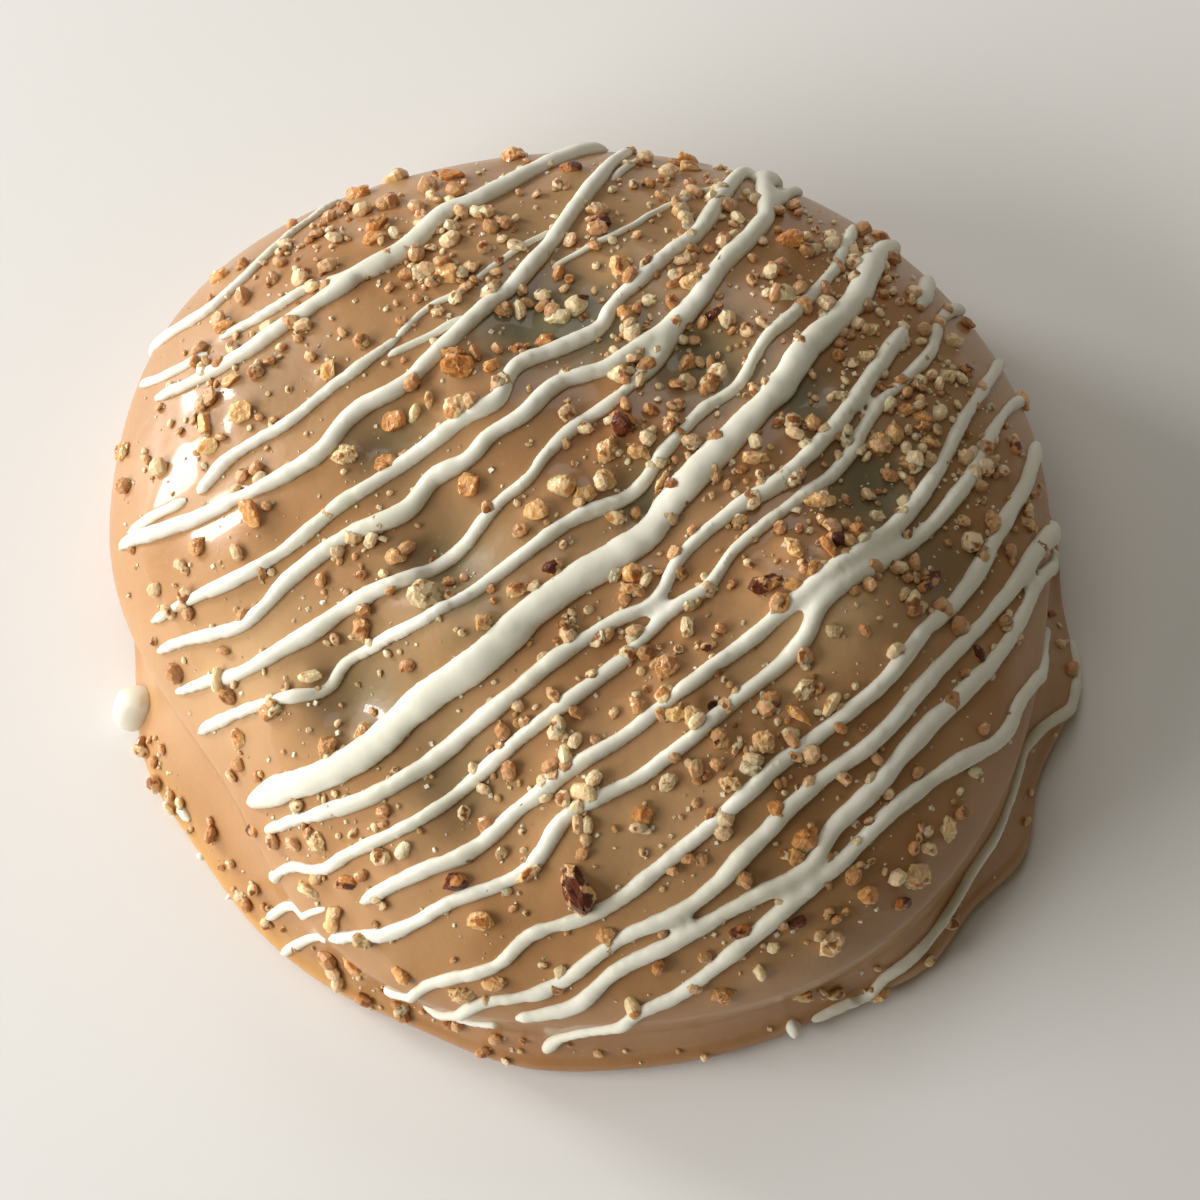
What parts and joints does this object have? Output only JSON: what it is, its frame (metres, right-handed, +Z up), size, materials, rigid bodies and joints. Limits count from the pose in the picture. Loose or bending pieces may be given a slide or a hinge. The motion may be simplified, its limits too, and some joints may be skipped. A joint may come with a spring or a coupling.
{
  "type": "caramel marshmallow cookie",
  "caption": "Low domed cookie coated in caramel, with a thin foot, white drizzle laid across it and chopped nuts on top.",
  "frame": {"origin": "middle of the flat base, on the surface that the cookie stands on", "axes": "+Z up through the dome, +Y to the back of the cookie, +X to the right as seen in the picture"},
  "size_m": [0.0912, 0.0889, 0.0295],
  "materials": {
    "caramel_coating": "smooth set caramel coating, soft sheen",
    "white_drizzle": "white icing drizzle, soft sheen",
    "chopped_nuts": "chopped roasted nuts, broken faces",
    "sugar_crystals": "candied sugar grains, slightly clear"
  },
  "bodies": {
    "root": {"coated_cookie": "caramel_coating"}
  },
  "joints": []
}
